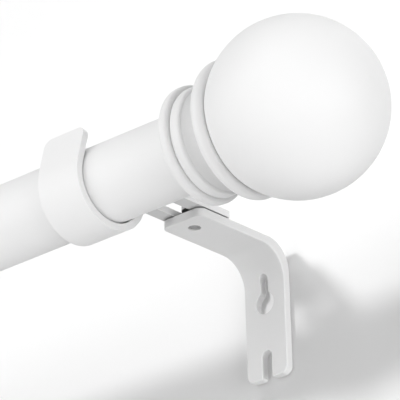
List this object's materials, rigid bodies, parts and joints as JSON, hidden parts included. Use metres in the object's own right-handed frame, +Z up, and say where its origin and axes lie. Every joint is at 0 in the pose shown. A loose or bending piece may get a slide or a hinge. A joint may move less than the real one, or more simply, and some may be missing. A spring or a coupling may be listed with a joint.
{
  "type": "extendable curtain rod",
  "caption": "Telescoping round curtain rod with ball finials, laid in hooked cradles that slide and clamp on bent wall brackets with keyholes.",
  "frame": {"origin": "centre of the right bracket's keyhole, in the wall plane", "axes": "+Z up, +X along the rod towards the right finial, +Y into the wall"},
  "size_m": [0.8542, 0.1114, 0.0677],
  "materials": {
    "tube_paint": "satin white powder coat",
    "bracket_paint": "satin white powder coat",
    "finial_white": "smooth white lacquer",
    "screw_steel": "dark plated steel",
    "plug_plastic": "moulded white plastic"
  },
  "bodies": {
    "right_mount": {"right_wall_bracket": "bracket_paint"},
    "right_screw": {"right_clamp_screw": "screw_steel"},
    "rod_outer": {"right_cradle": "bracket_paint", "outer_tube": "tube_paint", "right_end_plug": "plug_plastic", "mouth_bush": "plug_plastic"},
    "right_finial": {"right_finial_neck": "finial_white", "right_finial_ball": "finial_white", "right_finial_stud": "screw_steel"},
    "rod_inner": {"inner_tube": "tube_paint", "glide_bush": "plug_plastic", "left_end_plug": "plug_plastic", "left_cradle": "bracket_paint"},
    "left_finial": {"left_finial_neck": "finial_white", "left_finial_ball": "finial_white", "left_finial_stud": "screw_steel"},
    "left_mount": {"left_wall_bracket": "bracket_paint"},
    "left_screw": {"left_clamp_screw": "screw_steel"}
  },
  "joints": [
    {"name": "projection", "type": "slide", "parent": "right_mount", "child": "rod_outer", "axis": [0, 1, 0], "range_m": [0, 0.0215]},
    {"name": "right_screw_turn", "type": "hinge", "parent": "right_mount", "child": "right_screw", "pos_m": [0, -0.0362, 0.019], "axis": [0, 0, 1], "range_deg": [0, 720]},
    {"name": "right_finial_turn", "type": "hinge", "parent": "rod_outer", "child": "right_finial", "pos_m": [0.0445, -0.08365, 0.0138], "axis": [1, 0, 0], "range_deg": [0, 720]},
    {"name": "rod_extend", "type": "slide", "parent": "rod_outer", "child": "rod_inner", "axis": [-1, 0, 0], "range_m": [0, 0.5]},
    {"name": "left_finial_turn", "type": "hinge", "parent": "rod_inner", "child": "left_finial", "pos_m": [-0.6755, -0.08365, 0.0138], "axis": [-1, 0, 0], "range_deg": [0, 720]},
    {"name": "left_projection", "type": "slide", "parent": "rod_inner", "child": "left_mount", "axis": [0, -1, 0], "range_m": [0, 0.0215]},
    {"name": "left_screw_turn", "type": "hinge", "parent": "left_mount", "child": "left_screw", "pos_m": [-0.631, -0.0362, 0.0206], "axis": [0, 0, 1], "range_deg": [0, 720]}
  ],
  "couplings": [
    {"joint": "left_projection", "follows": "projection", "ratio": 1}
  ]
}
